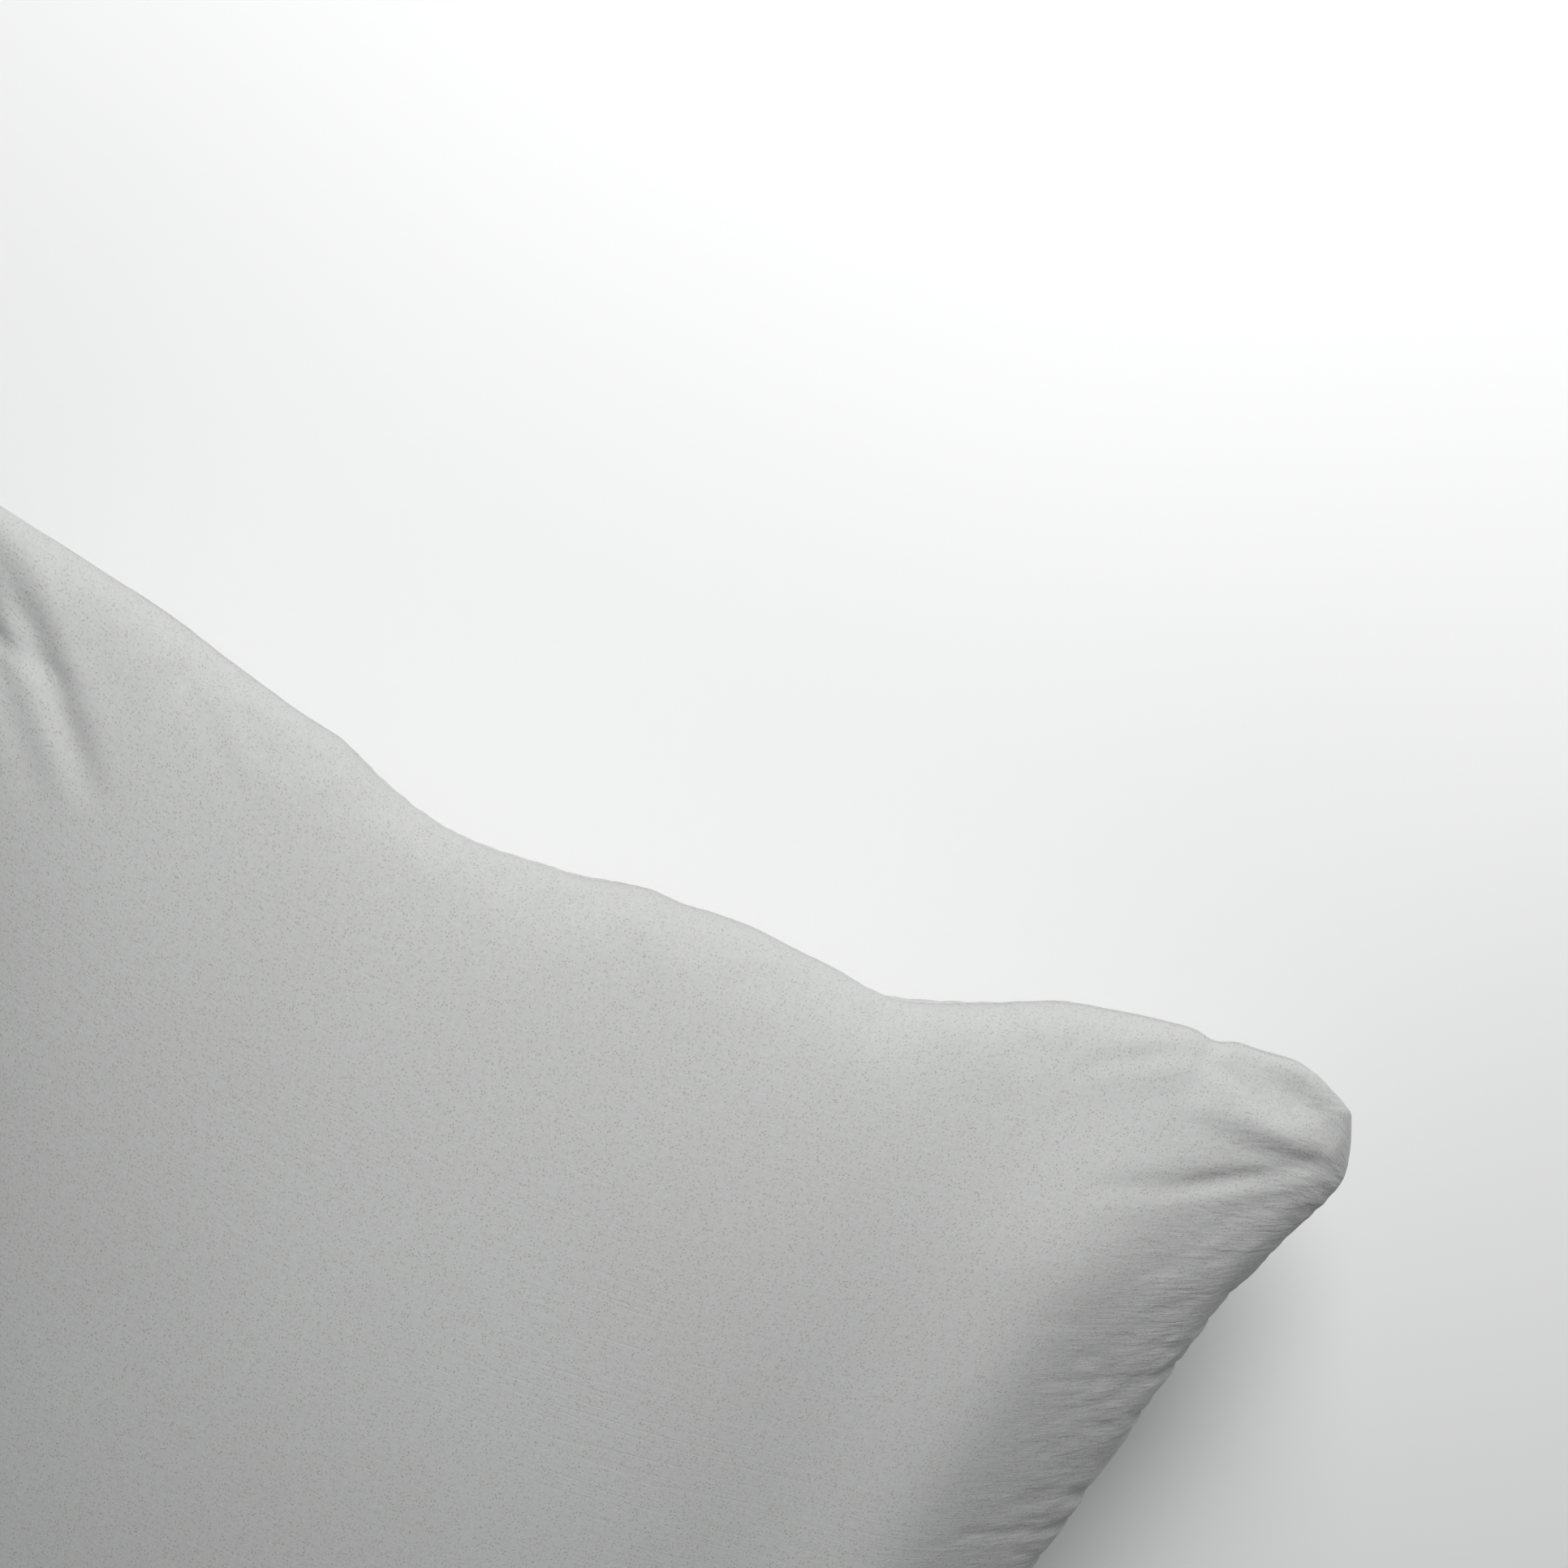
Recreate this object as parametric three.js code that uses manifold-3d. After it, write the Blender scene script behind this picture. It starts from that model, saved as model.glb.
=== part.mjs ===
// A bed pillow: a cover of two fabric panels sewn edge to edge and closed by a zip on one short side,
// round an inner pillow of ticking and loose fibre. It lies on its back panel.
//
// Millimetres, +Z up. The origin is under the middle of the pillow, on the surface it lies on.
// X runs along the pillow's length, with the zip at the -X end. Y runs across its width.

import * as THREE from "three";
import { mergeVertices } from "three/addons/utils/BufferGeometryUtils.js";
import Module from "manifold-3d";

// ---------------------------------------------------------------- driving dimensions
const LENGTH = 740; // along X before the ears are rounded and drawn in
const WIDTH = 494; // along Y before the ears are rounded and drawn in
const CROWN = 98; // seam plane to the top of the crown
const BELLY = 72; // seam plane to the flat patch that the pillow rests on
const BELLY_ROUND = 100; // how deep the back panel would hang if nothing flattened it
const SIDE_PULL = 0.22; // pull-in at the middle of a long side, as a share of half the width
const END_PULL = 0.125; // pull-in at the middle of the far short side, as a share of half the length
const EAR_RADIUS = 26; // rounding of each corner in plan
const FULLNESS = 0.56; // exponent of the crown: 0.5 is an ellipse, 1 a parabola

const COVER_WALL = 1.2;
const CASING_WALL = 1;
const GAP = 0.3; // clearance between pieces that touch
const CASING_INSET = 12; // from the cover's edge to the inner pillow's edge
const CASING_DROP = 1.8; // from the cover's outside to the inner pillow, at the crown
const FILL_INSET = 14;
const FILL_DROP = 3.4;
const ALLOWANCE = { width: 8, thickness: 1, clearance: 1 }; // the cover's turned-in seam edges
const ALLOWANCE_END = 0.78; // where it stops short of the zip, as a share of half the length

const ZIP_PULL = 0.065; // pull-in of the zipped short side, straight where the tape holds it
const ZIP_STRAIGHT = 181; // half the length of that straight stretch
const ZIP_MOUTH = 5; // half the height of the slit that shows the coil
const COIL = { half: 150, gap: 0.8, height: 2.2, depth: 2, recess: 1 };
const TAPE = { half: 158, thickness: 0.6, upright: 4.2, top: 11, lean: 2.4 };
const STOP = { length: 3, height: 3, depth: 2.8 };
const SLIDER = { length: 13, front: 4.6, rear: 3.6, plate: 1.3, flange: 0.8, flangeDepth: 0.9 };
const POST = { length: 3, thickness: 1 };
const BRIDGE = { length: 8, height: 3.3, bar: 1, width: 2.2 };
const TAB = { length: 25, width: 6.4, tip: 8, thickness: 1.2, eyeLength: 4.9, eyeWidth: 3.2, bar: 0.6 };
const GUARD = { half: 165, height: 10.5, thickness: 0.8, recess: 6.9 };
const LABEL = { width: 26, reach: 17, thickness: 0.8, along: -0.66 };

const COLUMNS = 20; // grid cells along X on each face
const ROWS = 16; // grid cells along Y on each face

// ---------------------------------------------------------------- materials
const finish = (color, roughness, metalness = 0) =>
  new THREE.MeshStandardMaterial({ color, roughness, metalness });
const coverCloth = finish(0xb9bbb9, 0.92);
const ticking = finish(0xeeede8, 0.9);
const fibre = finish(0xf7f7f4, 1);
const zipTape = finish(0xa4a6a5, 0.85);
const zipCoil = finish(0x9c9e9d, 0.45);
const zipMetal = finish(0xb4b5b6, 0.35, 0.9);
const labelTape = finish(0xf2f2ef, 0.7);

// ---------------------------------------------------------------- the pillow's form
const smooth = (low, high, value) => THREE.MathUtils.smoothstep(value, low, high);

// The plan position of the grid point (u, v), each -1 to 1. The last stretch of both directions is
// bent into a quarter circle for the ear, and the middle of each side is pulled in.
function plan(u, v, inset) {
  const halfX = LENGTH / 2 - inset;
  const halfY = WIDTH / 2 - inset;
  let x = u * halfX;
  let y = v * halfY;
  const cornerX = (Math.abs(x) - (halfX - EAR_RADIUS)) / EAR_RADIUS;
  const cornerY = (Math.abs(y) - (halfY - EAR_RADIUS)) / EAR_RADIUS;
  if (cornerX > 0 && cornerY > 0) {
    const bentX = cornerX * Math.sqrt(1 - cornerY ** 2 / 2);
    const bentY = cornerY * Math.sqrt(1 - cornerX ** 2 / 2);
    x = Math.sign(x) * (halfX - EAR_RADIUS + bentX * EAR_RADIUS);
    y = Math.sign(y) * (halfY - EAR_RADIUS + bentY * EAR_RADIUS);
  }
  const alongX = x / halfX;
  const alongY = y / halfY;
  const openEnd = END_PULL * (1 - alongY ** 2);
  const zipEnd = ZIP_PULL * (1 - smooth(ZIP_STRAIGHT, halfY, Math.abs(y)));
  const endPull = THREE.MathUtils.lerp(zipEnd, openEnd, (alongX + 1) / 2);
  const sidePull = SIDE_PULL * (1 - alongX ** 2);
  return [x * (1 - endPull), y * (1 - sidePull)];
}

const fullness = (u, v) => ((1 - u ** 2) * (1 - v ** 2)) ** FULLNESS;

// How far the rim of a cover panel is lifted off the seam plane to leave the zip's mouth.
function mouthLift(u, v) {
  const beside = 1 - smooth(ZIP_STRAIGHT / (WIDTH / 2), 1, Math.abs(v));
  return ZIP_MOUTH * beside * ((1 - u) / 2) ** 24;
}

// A point of the skin above (side 1) or below (side -1) the seam plane. The back panel is cut off
// flat at the belly, where it lies on something.
function skin(u, v, side, inset, drop, mouth) {
  const [x, y] = plan(u, v, inset);
  const round = (side > 0 ? CROWN : BELLY_ROUND) - drop;
  const deepest = (side > 0 ? CROWN : BELLY) - drop;
  const lift = GAP / 2 + (mouth ? mouthLift(u, v) : 0);
  return [x, y, side * Math.min(round * fullness(u, v) + lift, deepest)];
}

const gridAt = (index, cells) => Math.sin((Math.PI / 2) * ((2 * index) / cells - 1));

// Every grid point of one face, column by column.
function face(pointAt) {
  const points = [];
  for (let i = 0; i <= COLUMNS; i += 1) {
    for (let j = 0; j <= ROWS; j += 1) {
      points.push(pointAt(gridAt(i, COLUMNS), gridAt(j, ROWS)));
    }
  }
  return points;
}

// A closed solid between two faces that share one grid: upper, lower, and the wall round their rims.
function between(upper, lower) {
  const at = (i, j) => i * (ROWS + 1) + j;
  const under = upper.length;
  const index = [];
  const quad = (a, b, c, d) => index.push(a, b, c, a, c, d);
  for (let i = 0; i < COLUMNS; i += 1) {
    for (let j = 0; j < ROWS; j += 1) {
      quad(at(i, j), at(i + 1, j), at(i + 1, j + 1), at(i, j + 1));
      quad(
        under + at(i, j),
        under + at(i, j + 1),
        under + at(i + 1, j + 1),
        under + at(i + 1, j),
      );
    }
  }
  const rim = [];
  for (let i = 0; i < COLUMNS; i += 1) rim.push(at(i, 0));
  for (let j = 0; j < ROWS; j += 1) rim.push(at(COLUMNS, j));
  for (let i = COLUMNS; i > 0; i -= 1) rim.push(at(i, ROWS));
  for (let j = ROWS; j > 0; j -= 1) rim.push(at(0, j));
  rim.forEach((here, k) => {
    const next = rim[(k + 1) % rim.length];
    quad(under + here, under + next, next, here);
  });
  const geometry = new THREE.BufferGeometry();
  geometry.setAttribute(
    "position",
    new THREE.Float32BufferAttribute([...upper, ...lower].flat(), 3),
  );
  geometry.setIndex(index);
  return mergeVertices(geometry);
}

// One bowl-shaped panel with a wall, open at the seam plane.
function panel(side, inset, drop, wall, mouth) {
  const outside = face((u, v) => skin(u, v, side, inset, drop, mouth));
  const inside = face((u, v) => skin(u, v, side, inset + wall, drop + wall, mouth));
  return side > 0 ? between(outside, inside) : between(inside, outside);
}

// ---------------------------------------------------------------- solids drawn as sections
// A section drawn in (x, z), run along Y and centred on y = 0.
function runAlongY(points, length) {
  const shape = new THREE.Shape(points.map(([x, z]) => new THREE.Vector2(x, z)));
  const geometry = new THREE.ExtrudeGeometry(shape, { depth: length, bevelEnabled: false });
  return geometry.rotateX(Math.PI / 2).translate(0, length / 2, 0);
}

// A section drawn in (y, z), run along X from `from` to `to`.
function runAlongX(shape, from, to, curveSegments = 6) {
  const geometry = new THREE.ExtrudeGeometry(shape, {
    depth: to - from,
    bevelEnabled: false,
    curveSegments,
  });
  const turn = new THREE.Matrix4().makeBasis(
    new THREE.Vector3(0, 1, 0),
    new THREE.Vector3(0, 0, 1),
    new THREE.Vector3(1, 0, 0),
  );
  return geometry.applyMatrix4(turn).translate(from, 0, 0);
}

const box = (x0, x1, y0, y1, z0, z1) =>
  new THREE.BoxGeometry(x1 - x0, y1 - y0, z1 - z0).translate(
    (x0 + x1) / 2,
    (y0 + y1) / 2,
    (z0 + z1) / 2,
  );

const wasm = await Module();
wasm.setup();

function toSolid(geometry) {
  const bare = new THREE.BufferGeometry();
  bare.setAttribute("position", geometry.getAttribute("position").clone());
  if (geometry.index) bare.setIndex(geometry.index.clone());
  const merged = mergeVertices(bare);
  return new wasm.Manifold(
    new wasm.Mesh({
      numProp: 3,
      vertProperties: new Float32Array(merged.attributes.position.array),
      triVerts: new Uint32Array(merged.index.array),
    }),
  );
}

// The pieces of one solid joined into one geometry.
function joined(...geometries) {
  const solid = geometries.map(toSolid).reduce((whole, piece) => whole.add(piece));
  const mesh = solid.getMesh();
  const geometry = new THREE.BufferGeometry();
  geometry.setAttribute("position", new THREE.Float32BufferAttribute(mesh.vertProperties, 3));
  geometry.setIndex(new THREE.Uint32BufferAttribute(mesh.triVerts, 1));
  return geometry;
}

// ---------------------------------------------------------------- assembly
const pillow = new THREE.Group();
pillow.name = "bed_pillow";

const seam = new THREE.Group(); // everything here is drawn from the seam plane
seam.position.z = BELLY;
pillow.add(seam);

const zip = new THREE.Group(); // drawn from the line where the zip's mouth would close
zip.position.x = (-LENGTH / 2) * (1 - ZIP_PULL);
seam.add(zip);

function add(parent, name, geometry, material) {
  const mesh = new THREE.Mesh(geometry, material);
  mesh.name = name;
  parent.add(mesh);
  return mesh;
}

// The cover: face panel and back panel, meeting in the seam plane.
add(seam, "cover_top_panel", panel(1, 0, 0, COVER_WALL, true), coverCloth);
add(seam, "cover_bottom_panel", panel(-1, 0, 0, COVER_WALL, true), coverCloth);

// The turned-in edges of the seam: a flat strip inside the two long sides and the far end.
function allowanceStrip() {
  const outer = COVER_WALL + ALLOWANCE.clearance;
  const inner = outer + ALLOWANCE.width;
  const path = [];
  for (let i = 0; i <= COLUMNS; i += 1) {
    const u = gridAt(i, COLUMNS);
    if (u > -ALLOWANCE_END) path.push([u, -1]);
  }
  for (let j = 1; j <= ROWS; j += 1) path.push([1, gridAt(j, ROWS)]);
  for (let i = COLUMNS - 1; i >= 0; i -= 1) {
    const u = gridAt(i, COLUMNS);
    if (u > -ALLOWANCE_END) path.push([u, 1]);
  }
  const there = path.map(([u, v]) => plan(u, v, outer));
  const back = path.map(([u, v]) => plan(u, v, inner)).reverse();
  const outline = [...there, ...back].map(([x, y]) => new THREE.Vector2(x, y));
  const geometry = new THREE.ExtrudeGeometry(new THREE.Shape(outline), {
    depth: ALLOWANCE.thickness,
    bevelEnabled: false,
  });
  return geometry.translate(0, 0, -ALLOWANCE.thickness / 2);
}
add(seam, "cover_seam_allowance", allowanceStrip(), coverCloth);

// The inner pillow: two panels of ticking and the fibre they hold.
add(seam, "inner_casing_top", panel(1, CASING_INSET, CASING_DROP, CASING_WALL, false), ticking);
add(seam, "inner_casing_bottom", panel(-1, CASING_INSET, CASING_DROP, CASING_WALL, false), ticking);
const fillTop = face((u, v) => skin(u, v, 1, FILL_INSET, FILL_DROP, false));
const fillBottom = face((u, v) => skin(u, v, -1, FILL_INSET, FILL_DROP, false));
add(seam, "fibre_fill", between(fillTop, fillBottom), fibre);

// The zip's two tapes: upright behind the coil, then leaning in along the inside of their panel.
const coilBack = COIL.recess + COIL.depth;
const tapeFront = coilBack + GAP;
const tapeBack = tapeFront + TAPE.thickness;
const tapeSection = [
  [tapeFront, COIL.gap],
  [tapeBack, COIL.gap],
  [tapeBack, TAPE.upright],
  [tapeBack + TAPE.lean, TAPE.top],
  [tapeFront + TAPE.lean, TAPE.top],
  [tapeFront, TAPE.upright],
];
// The two rows of coil, each a rounded bar.
const coilTop = COIL.gap + COIL.height;
const coilSection = [
  [COIL.recess + 0.2 * COIL.depth, COIL.gap],
  [coilBack, COIL.gap],
  [coilBack, coilTop],
  [COIL.recess + 0.4 * COIL.depth, coilTop],
  [COIL.recess, coilTop - 0.3 * COIL.height],
  [COIL.recess, COIL.gap + 0.2 * COIL.height],
];
const mirrored = (section) => section.map(([x, z]) => [x, -z]);
add(zip, "zip_tape_upper", runAlongY(tapeSection, 2 * TAPE.half), zipTape);
add(zip, "zip_tape_lower", runAlongY(mirrored(tapeSection), 2 * TAPE.half), zipTape);
add(zip, "zip_coil_upper", runAlongY(coilSection, 2 * COIL.half), zipCoil);
add(zip, "zip_coil_lower", runAlongY(mirrored(coilSection), 2 * COIL.half), zipCoil);

// Stops: one on each tape past the coil's closed end (+Y), one across both at the open end.
const stopFront = COIL.recess - 0.4;
const stopY = COIL.half + GAP;
const topStop = (z0, z1) =>
  box(stopFront, stopFront + STOP.depth - GAP, stopY, stopY + STOP.length, z0, z1);
add(zip, "zip_top_stop_upper", topStop(COIL.gap, COIL.gap + STOP.height), zipMetal);
add(zip, "zip_top_stop_lower", topStop(-COIL.gap - STOP.height, -COIL.gap), zipMetal);
const bottomStop = box(
  stopFront,
  coilBack,
  -stopY - STOP.length,
  -stopY,
  -COIL.gap - STOP.height,
  COIL.gap + STOP.height,
);
add(zip, "zip_bottom_stop", bottomStop, zipMetal);

// The guard strip behind the zip, which keeps the coil off the inner pillow.
const guard = box(
  GUARD.recess,
  GUARD.recess + GUARD.thickness,
  -GUARD.half,
  GUARD.half,
  -GUARD.height,
  GUARD.height,
);
add(zip, "zip_guard_flap", guard, coverCloth);

// The slider: outer and inner plates joined by a post between the coil rows, flanges that hold the
// tapes in, and a bridge on the outer plate. It stands at the closed end, against the top stops.
const sliderY = COIL.half - SLIDER.length / 2 - GAP;
const outerBack = COIL.recess - GAP;
const outerFront = outerBack - SLIDER.plate;
const innerFront = tapeBack + GAP;
const innerBack = innerFront + SLIDER.plate;

function plateShape() {
  const { length, front, rear } = SLIDER;
  const shape = new THREE.Shape();
  shape.moveTo(-length / 2 + 1, -rear);
  shape.lineTo(length / 2 - 2, -front);
  shape.quadraticCurveTo(length / 2, -front, length / 2, -front + 2);
  shape.lineTo(length / 2, front - 2);
  shape.quadraticCurveTo(length / 2, front, length / 2 - 2, front);
  shape.lineTo(-length / 2 + 1, rear);
  shape.quadraticCurveTo(-length / 2, rear, -length / 2, rear - 1);
  shape.lineTo(-length / 2, -rear + 1);
  shape.quadraticCurveTo(-length / 2, -rear, -length / 2 + 1, -rear);
  return shape;
}

function bridgeGeometry() {
  const { length, height, bar, width } = BRIDGE;
  const shape = new THREE.Shape();
  shape.moveTo(0.2, -length / 2);
  shape.lineTo(-height + 1, -length / 2);
  shape.quadraticCurveTo(-height, -length / 2, -height, -length / 2 + 1);
  shape.lineTo(-height, length / 2 - 1);
  shape.quadraticCurveTo(-height, length / 2, -height + 1, length / 2);
  shape.lineTo(0.2, length / 2);
  shape.lineTo(0.2, length / 2 - bar);
  shape.lineTo(-height + bar, length / 2 - bar);
  shape.lineTo(-height + bar, -length / 2 + bar);
  shape.lineTo(0.2, -length / 2 + bar);
  const geometry = new THREE.ExtrudeGeometry(shape, {
    depth: width,
    bevelEnabled: false,
    curveSegments: 4,
  });
  return geometry.translate(outerFront, 0, -width / 2);
}

const flangeZ = SLIDER.rear - SLIDER.flange;
const flangeY = SLIDER.length / 2 - 2;
const flange = (x0, x1, side) =>
  box(x0, x1, -flangeY, flangeY, Math.min(side * flangeZ, side * SLIDER.rear),
    Math.max(side * flangeZ, side * SLIDER.rear));
const postY = SLIDER.length / 2 - POST.length;
const slider = joined(
  runAlongX(plateShape(), outerFront, outerBack),
  runAlongX(plateShape(), innerFront, innerBack),
  box(outerBack - 0.2, innerFront + 0.2, postY, postY + POST.length - GAP,
    -POST.thickness / 2, POST.thickness / 2),
  flange(outerBack - 0.2, outerBack + SLIDER.flangeDepth, 1),
  flange(outerBack - 0.2, outerBack + SLIDER.flangeDepth, -1),
  bridgeGeometry(),
);
add(zip, "zip_slider", slider, zipMetal).position.y = sliderY;

// The pull tab: a flat tongue whose end bar runs under the bridge, lying back over the coil.
const pivotX = outerFront - (BRIDGE.height - BRIDGE.bar) / 2;
function tabShape() {
  const { length, width, tip, eyeLength, eyeWidth, bar } = TAB;
  const shape = new THREE.Shape();
  shape.moveTo(bar, -width / 2);
  shape.lineTo(bar, width / 2);
  shape.lineTo(-length * 0.5, width / 2);
  shape.lineTo(-length + tip / 2, tip / 2);
  shape.absarc(-length + tip / 2, 0, tip / 2, Math.PI / 2, (3 * Math.PI) / 2, false);
  shape.lineTo(-length * 0.5, -width / 2);
  const eye = new THREE.Path();
  eye.moveTo(-bar, -eyeWidth / 2);
  eye.lineTo(-bar - eyeLength, -eyeWidth / 2);
  eye.lineTo(-bar - eyeLength, eyeWidth / 2);
  eye.lineTo(-bar, eyeWidth / 2);
  shape.holes.push(eye);
  return shape;
}
const tab = runAlongX(tabShape(), -TAB.thickness / 2, TAB.thickness / 2, 8);
add(zip, "zip_pull_tab", tab, zipMetal).position.set(pivotX, sliderY, 0);

// The care label: a blank loop of tape sewn into a long side near the zip, turned to follow the seam.
const [labelX, labelY] = plan(LABEL.along, 1, 0);
const [aheadX, aheadY] = plan(LABEL.along + 0.02, 1, 0);
const label = box(
  -LABEL.width / 2,
  LABEL.width / 2,
  0,
  LABEL.reach,
  -LABEL.thickness / 2,
  LABEL.thickness / 2,
);
const labelMesh = add(seam, "care_label", label, labelTape);
labelMesh.position.set(labelX, labelY + 2 * GAP, 0);
labelMesh.rotation.z = Math.atan2(aheadY - labelY, aheadX - labelX);

// The two ends differ a little, so the whole is moved to stand centred on the origin.
const overall = new THREE.Box3().setFromObject(pillow);
seam.position.x = -(overall.min.x + overall.max.x) / 2;

export default pillow;
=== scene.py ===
"""A bed pillow: a zipped cover of two woven panels round an inner pillow of ticking and loose fibre.

Metres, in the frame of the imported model: X along the pillow, Y across it, +Z up. It lies on z = 0.
"""

import math

import bmesh
import bpy
import numpy as np
from mathutils import Matrix, Vector


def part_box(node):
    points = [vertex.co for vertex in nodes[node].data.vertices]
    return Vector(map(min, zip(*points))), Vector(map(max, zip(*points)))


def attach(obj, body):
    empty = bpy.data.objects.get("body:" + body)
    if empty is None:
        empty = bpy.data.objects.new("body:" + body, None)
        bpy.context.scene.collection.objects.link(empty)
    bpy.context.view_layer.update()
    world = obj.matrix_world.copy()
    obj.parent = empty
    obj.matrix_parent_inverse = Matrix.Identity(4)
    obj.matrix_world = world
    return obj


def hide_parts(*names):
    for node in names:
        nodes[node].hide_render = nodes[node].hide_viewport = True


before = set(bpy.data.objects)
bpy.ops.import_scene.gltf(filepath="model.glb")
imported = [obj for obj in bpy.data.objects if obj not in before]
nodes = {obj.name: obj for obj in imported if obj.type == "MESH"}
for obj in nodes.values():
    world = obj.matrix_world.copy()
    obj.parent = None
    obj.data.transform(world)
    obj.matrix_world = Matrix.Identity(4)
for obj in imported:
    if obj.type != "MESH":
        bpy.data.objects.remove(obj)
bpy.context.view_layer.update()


# ---------------------------------------------------------------- cover: how the cloth is cut and blown up
# Two flat panels of cloth are sewn edge to edge on three sides and filled. Cloth can't stretch, so the
# filled cover draws its sides in, leaves its corners as ears, and gathers into puckers along the seam.

CUT_LENGTH, CUT_WIDTH = 0.75, 0.50
CUT_CORNER = 0.035
CUT_HOLLOW = 0.02  # the far short side is cut a little hollow
CLOTH_CELL = 0.00625
FILLING_START = 0.012  # half the thickness that the pillow is blown up from


def linked(name, data):
    """A new object that carries the given data, put into the scene."""
    made = bpy.data.objects.new(name, data)
    bpy.context.scene.collection.objects.link(made)
    return made


def smooth(low, high, value):
    share = np.clip((value - low) / (high - low), 0, 1)
    return share * share * (3 - 2 * share)


def cut_grid(columns, rows):
    """Points of a flat panel, its corners bent into quarter circles."""
    half = np.array([CUT_LENGTH / 2, CUT_WIDTH / 2])
    x, y = np.meshgrid(
        np.linspace(-half[0], half[0], columns + 1),
        np.linspace(-half[1], half[1], rows + 1),
        indexing="ij",
    )
    over_x = np.clip((abs(x) - (half[0] - CUT_CORNER)) / CUT_CORNER, 0, 1)
    over_y = np.clip((abs(y) - (half[1] - CUT_CORNER)) / CUT_CORNER, 0, 1)
    corner = (over_x > 0) & (over_y > 0)
    bent_x = half[0] - CUT_CORNER + over_x * np.sqrt(1 - over_y**2 / 2) * CUT_CORNER
    bent_y = half[1] - CUT_CORNER + over_y * np.sqrt(1 - over_x**2 / 2) * CUT_CORNER
    cut_x = np.where(corner, np.sign(x) * bent_x, x)
    cut_y = np.where(corner, np.sign(y) * bent_y, y)
    hollow = CUT_HOLLOW / half[0] * (1 - (cut_y / half[1]) ** 2) * (cut_x > 0)
    return np.stack([cut_x * (1 - hollow), cut_y, 0 * cut_x], -1)


def quads(index):
    """The faces between neighbours of a grid of vertex numbers, wound so that they face up."""
    corners = [index[:-1, :-1], index[1:, :-1], index[1:, 1:], index[:-1, 1:]]
    return np.stack(corners, -1).reshape(-1, 4)


def resampled(grid, columns, rows):
    """A grid sampled afresh at columns x rows cells, along cubic curves through its points."""
    for axis, cells in enumerate((columns, rows)):
        line = np.moveaxis(grid, axis, 0)
        line = np.concatenate([2 * line[:1] - line[1:2], line, 2 * line[-1:] - line[-2:-1]])
        place = np.linspace(0, len(line) - 3, cells + 1)
        first = np.minimum(place.astype(int), len(line) - 4)
        t = (place - first).reshape(-1, *[1] * (line.ndim - 1))
        a, b, c, d = (line[first + step] for step in range(4))
        curve = 2 * b + (c - a) * t + (2 * a - 5 * b + 4 * c - d) * t**2
        curve = (curve + (3 * b - a - 3 * c + d) * t**3) / 2
        grid = np.moveaxis(curve, 0, axis)
    return grid


def blown_up(flat, upper, lower, frames, pressure, bending):
    """Cloth simulation of the two panels, joined at the rim and pushed apart from inside."""
    top = np.arange(flat[..., 0].size).reshape(flat.shape[:2])
    free = np.zeros(top.shape, bool)
    free[1:-1, 1:-1] = True
    back = top.copy()
    back[free] = top.size + np.arange(free.sum())

    def merged(top_grid, back_grid):
        return np.concatenate([top_grid.reshape(-1, 3), back_grid[free]])

    mesh = bpy.data.meshes.new("blown_up")
    faces = np.concatenate([quads(top), quads(back)[:, ::-1]])
    mesh.from_pydata(merged(upper, lower).tolist(), [], faces.tolist())
    bag = linked("blown_up", mesh)
    scene = bpy.context.scene
    bag.shape_key_add(name="start")
    cut = bag.shape_key_add(name="cut")
    cut.data.foreach_set("co", merged(flat, flat).astype(np.float32).ravel())
    cut.value = 0

    modifier = bag.modifiers.new("Cloth", "CLOTH")
    cloth = modifier.settings
    cloth.quality = 6
    cloth.mass = 0.3
    cloth.tension_stiffness = cloth.compression_stiffness = 30
    cloth.shear_stiffness = 5
    cloth.bending_stiffness = bending
    cloth.air_damping = 1
    cloth.use_pressure = True
    cloth.uniform_pressure_force = pressure
    cloth.rest_shape_key = cut
    cloth.effector_weights.gravity = 0
    modifier.collision_settings.use_collision = False
    modifier.point_cache.frame_end = frames
    scene.frame_end = frames
    for step in range(1, frames + 1):
        scene.frame_set(step)
    shown = bag.evaluated_get(bpy.context.evaluated_depsgraph_get()).data
    found = np.empty(len(shown.vertices) * 3, np.float32)
    shown.vertices.foreach_get("co", found)
    found = found.reshape(-1, 3).astype(float)
    scene.frame_set(1)
    bpy.data.objects.remove(bag)
    bpy.data.meshes.remove(mesh)
    return found[top], found[back]


def simulated():
    """The upper and lower panel of the filled cover: coarse cloth first, then cloth twice as fine."""
    columns, rows = round(CUT_LENGTH / CLOTH_CELL), round(CUT_WIDTH / CLOTH_CELL)
    flat = cut_grid(columns, rows)
    shares = flat[..., :2] / (CUT_LENGTH / 2, CUT_WIDTH / 2)
    dome = np.sqrt(np.clip((1 - shares[..., 0] ** 2) * (1 - shares[..., 1] ** 2), 0, 1))
    random = np.random.default_rng(5)
    jitter = random.normal(0, 0.0004, (2, *dome.shape))
    inside = np.zeros(dome.shape)
    inside[1:-1, 1:-1] = 1
    upper, lower = flat.copy(), flat.copy()
    upper[..., 2] = (FILLING_START * dome + jitter[0]) * inside
    lower[..., 2] = (-FILLING_START * dome + jitter[1]) * inside
    upper, lower = blown_up(flat, upper, lower, frames=50, pressure=1.2, bending=0.1)
    fine = cut_grid(2 * columns, 2 * rows)
    upper, lower = (resampled(part, 2 * columns, 2 * rows) for part in (upper, lower))
    return blown_up(fine, upper, lower, frames=10, pressure=0.6, bending=0.02)


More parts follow.
